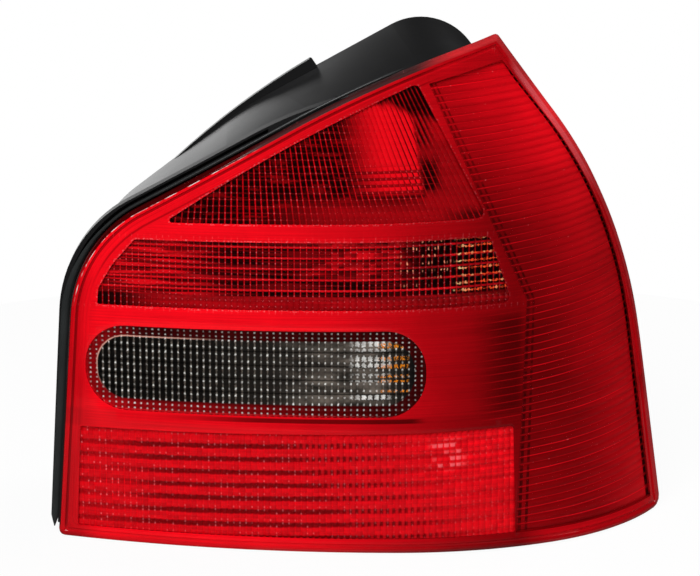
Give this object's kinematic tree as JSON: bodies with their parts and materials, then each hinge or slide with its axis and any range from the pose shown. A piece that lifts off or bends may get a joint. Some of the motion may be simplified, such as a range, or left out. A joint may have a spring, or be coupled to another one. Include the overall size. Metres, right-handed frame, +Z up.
{
  "type": "tail light cluster",
  "caption": "Right-hand wrap-round tail lamp with a fluted red lens, a clear pill window and a black housing held by studs.",
  "frame": {"origin": "centre of the three studs on the plane of the car body", "axes": "+X outboard, +Y into the car along the studs, +Z up"},
  "size_m": [0.3183, 0.1448, 0.2535],
  "materials": {
    "red_acrylic": "clear red moulded, polished",
    "clear_acrylic": "clear moulded, polished",
    "black_plastic": "satin moulded",
    "foam": "closed-cell foam",
    "carrier_plastic": "moulded",
    "zinc_steel": "zinc plated",
    "brass": "stamped",
    "clear_glass": "clear",
    "amber_glass": "amber coated",
    "reflector_chrome": "metallised",
    "nickel_cap": "nickel plated",
    "tungsten": "drawn wire"
  },
  "bodies": {
    "root": {"red_lens": "red_acrylic", "window_lens": "clear_acrylic", "housing": "black_plastic", "body_seal": "foam", "carrier_seal": "foam", "bulb_carrier": "carrier_plastic", "mounting_studs": "zinc_steel", "plug_blades": "brass", "feed_strips": "brass", "earth_strip": "brass", "socket_contacts": "brass", "clear_bulb_glass": "clear_glass", "amber_bulb_glass": "amber_glass", "upper_reflector": "reflector_chrome", "upper_bulb_cap": "nickel_cap", "upper_filament": "tungsten", "band_reflector": "reflector_chrome", "band_bulb_cap": "nickel_cap", "band_filament": "tungsten", "window_reflector": "reflector_chrome", "window_bulb_cap": "nickel_cap", "window_filament": "tungsten", "lower_reflector": "reflector_chrome", "lower_bulb_cap": "nickel_cap", "lower_filament": "tungsten"}
  },
  "joints": []
}
